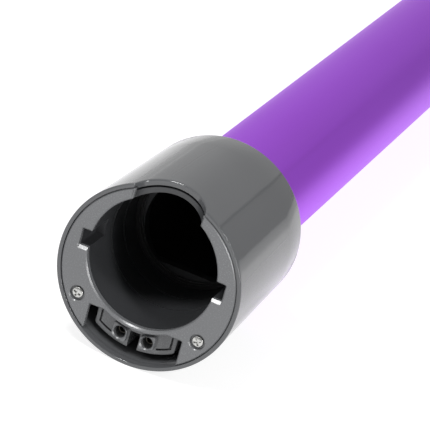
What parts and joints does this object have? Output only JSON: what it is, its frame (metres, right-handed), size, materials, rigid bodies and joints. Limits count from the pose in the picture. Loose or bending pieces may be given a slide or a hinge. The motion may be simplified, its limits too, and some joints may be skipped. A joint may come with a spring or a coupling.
{
  "type": "cordless vacuum extension wand",
  "caption": "Straight vacuum extension wand: anodised aluminium tube with a round keyed socket collar at one end and a latching plug neck with a release button at the other.",
  "frame": {"origin": "middle of the wand's length and width, at the level of the surface it lies on", "axes": "+Y along the tube from the socket end to the plug end, +Z towards the latch scallop and the release button"},
  "size_m": [0.052, 0.73, 0.0523],
  "materials": {
    "tube": "purple anodised, satin",
    "collar": "polished moulding",
    "plate": "satin moulding",
    "inner_moulding": "fine matt moulding",
    "screw": "nickel plated",
    "contact": "plated",
    "seal": "matt",
    "insulation_red": "PVC insulation",
    "insulation_black": "PVC insulation",
    "button": "satin moulding"
  },
  "bodies": {
    "wand": {"wand_tube": "tube", "wire_duct": "inner_moulding", "wire_left": "insulation_red", "wire_right": "insulation_black", "socket_collar": "collar", "socket_sleeve": "inner_moulding", "socket_face_plate": "plate", "face_screw_left": "screw", "face_screw_right": "screw", "contact_carrier": "plate", "socket_terminal_left": "contact", "socket_terminal_right": "contact", "bore_seal": "seal", "socket_tube_ring": "inner_moulding", "plug_collar": "collar", "plug_neck": "inner_moulding", "plug_face_plate": "plate", "plug_screw_left": "screw", "plug_screw_right": "screw", "plug_contact_block": "plate", "contact_pin_left": "contact", "contact_pin_right": "contact", "plug_tube_ring": "inner_moulding", "catch_pivot_pin": "screw", "catch_spring": "screw"},
    "button": {"release_button": "button"},
    "catch": {"catch_lever": "inner_moulding"}
  },
  "joints": [
    {"name": "button_press", "type": "slide", "parent": "wand", "child": "button", "axis": [0, 0, -1], "range_m": [0, 0.0016], "stiffness_N_per_m": 900, "springref_m": -0.0015, "deforming": ["catch_spring"]},
    {"name": "catch_pivot", "type": "hinge", "parent": "wand", "child": "catch", "pos_m": [0, 0.285, 0.0451], "axis": [-1, 0, 0], "range_deg": [0, 2.6]}
  ],
  "couplings": [
    {"joint": "catch_pivot", "follows": "button_press", "rad_per_m": 27.778}
  ]
}
